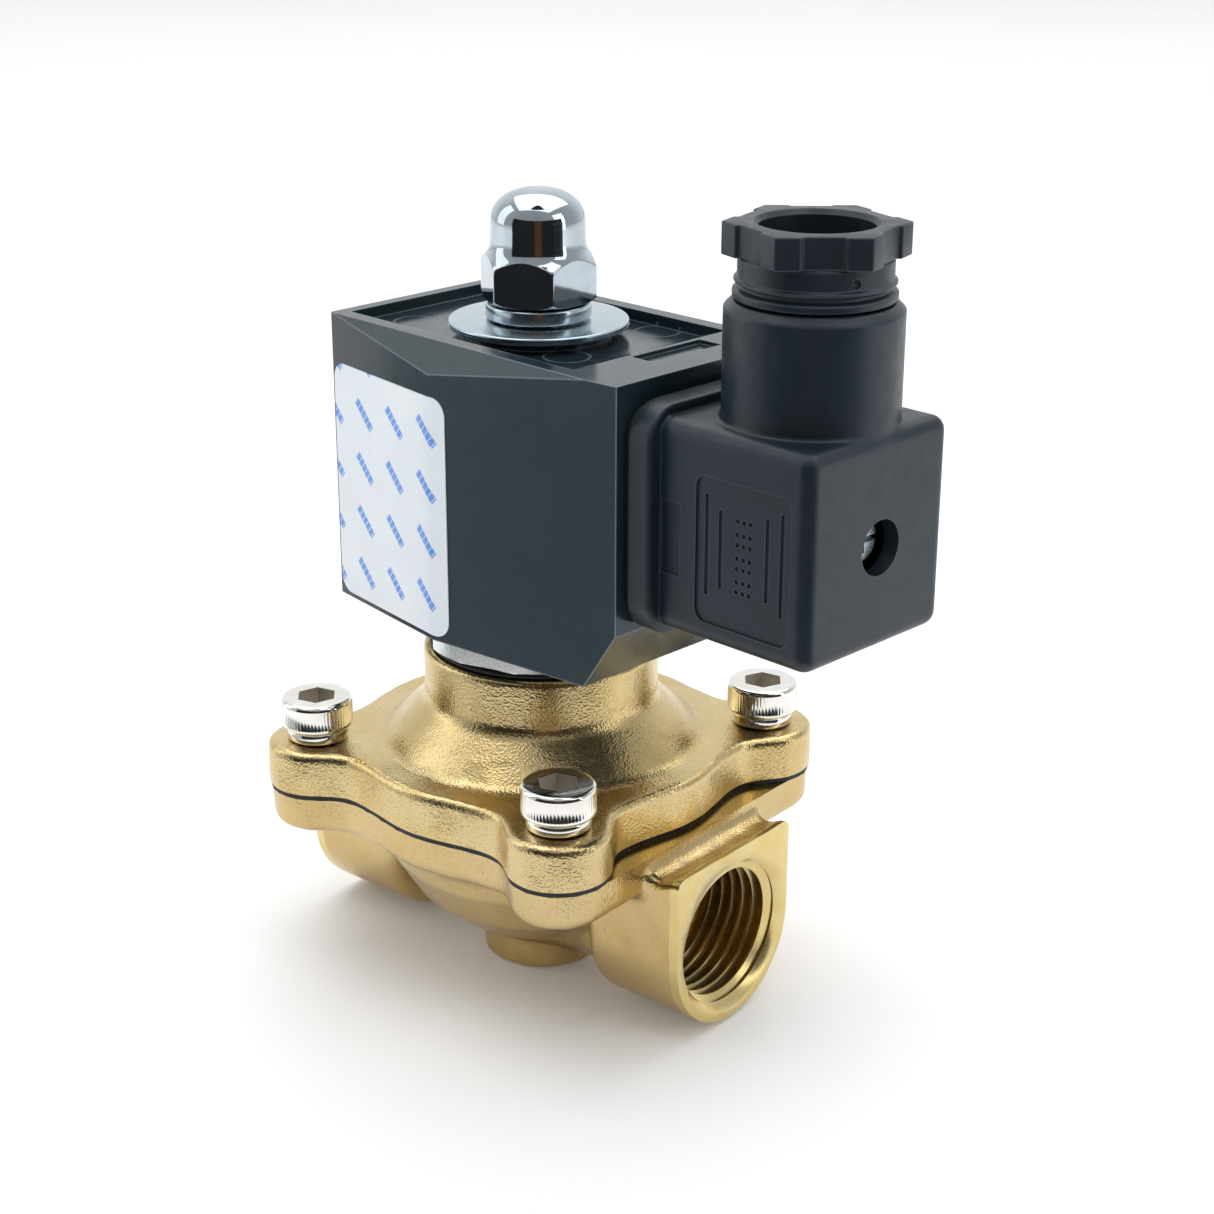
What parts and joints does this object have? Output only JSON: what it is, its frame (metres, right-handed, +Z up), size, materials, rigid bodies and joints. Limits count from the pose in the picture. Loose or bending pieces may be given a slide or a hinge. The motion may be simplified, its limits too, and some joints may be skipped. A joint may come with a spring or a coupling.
{
  "type": "solenoid valve",
  "caption": "Brass two-way solenoid valve with female ports, a lobed bolted bonnet, a square coil and a right-angle cable plug.",
  "frame": {"origin": "centre of the flat under the body's middle boss, on the axis of the coil", "axes": "+X along the flow, out of the outlet port and towards the cable plug; +Z up the armature tube; +Y completes the frame"},
  "size_m": [0.0943, 0.0592, 0.1141],
  "materials": {
    "brass": "cast and shot-blasted, machined bright at the port faces",
    "steel": "turned stainless steel",
    "nickel": "nickel-plated steel, knurled heads",
    "zinc": "bright zinc plate with a bluish cast",
    "chrome": "polished chrome plate",
    "copper": "enamelled copper",
    "rubber": "black nitrile rubber",
    "coil_plastic": "glossy moulded slate-black plastic",
    "plug_plastic": "satin moulded slate-black plastic",
    "spool_plastic": "natural glass-filled nylon",
    "label_white": "white vinyl sticker"
  },
  "bodies": {
    "valve": {"valve_body": "brass", "cover": "brass", "diaphragm": "rubber", "tube_o_ring": "rubber", "armature_tube": "steel", "fixed_core": "steel", "shading_ring": "copper", "plunger_spring": "steel", "flat_washer": "zinc", "spring_washer": "zinc", "cap_nut": "chrome", "cover_screw_1": "nickel", "cover_screw_2": "nickel", "cover_screw_3": "nickel", "cover_screw_4": "nickel", "lock_washer_1": "nickel", "lock_washer_2": "nickel", "lock_washer_3": "nickel", "lock_washer_4": "nickel"},
    "diaphragm_stack": {"pilot_hub": "brass", "seat_disc": "rubber", "backing_plate": "steel"},
    "plunger": {"plunger": "steel", "plunger_seal": "rubber"},
    "coil": {"coil_housing": "coil_plastic", "yoke": "steel", "bobbin": "spool_plastic", "winding": "copper", "terminal_blade_1": "zinc", "terminal_blade_2": "zinc", "earth_blade": "zinc", "label": "label_white"},
    "plug": {"plug_housing": "plug_plastic", "plug_gasket": "rubber", "terminal_block": "spool_plastic", "clamp_screw_1": "zinc", "clamp_screw_2": "zinc", "clamp_screw_3": "zinc", "plug_screw": "zinc", "gland_seal": "rubber"},
    "gland_ring": {"gland_ring": "zinc"},
    "gland_nut": {"gland_nut": "plug_plastic"}
  },
  "joints": [
    {"name": "plunger_lift", "type": "slide", "parent": "valve", "child": "plunger", "axis": [0, 0, 1], "range_m": [0, 0.004], "stiffness_N_per_m": 300, "springref_m": -0.006, "deforming": ["plunger_spring"]},
    {"name": "diaphragm_lift", "type": "slide", "parent": "valve", "child": "diaphragm_stack", "axis": [0, 0, 1], "range_m": [0, 0.003], "deforming": ["diaphragm"]},
    {"name": "coil_turn", "type": "hinge", "parent": "valve", "child": "coil", "pos_m": [0, 0, 0.073], "axis": [0, 0, 1], "continuous": true},
    {"name": "plug_pull", "type": "slide", "parent": "coil", "child": "plug", "axis": [0.996, -0.0889, 0], "range_m": [0, 0.03]},
    {"name": "gland_travel", "type": "slide", "parent": "plug", "child": "gland_ring", "axis": [0, 0, 1], "range_m": [0, 0.003]},
    {"name": "gland_turn", "type": "hinge", "parent": "gland_ring", "child": "gland_nut", "pos_m": [0.04728, -0.00422, 0.11], "axis": [0, 0, 1], "range_deg": [0, 720]}
  ],
  "couplings": [
    {"joint": "diaphragm_lift", "follows": "plunger_lift", "ratio": 0.75},
    {"joint": "gland_turn", "follows": "gland_travel", "rad_per_m": 4188.8}
  ]
}
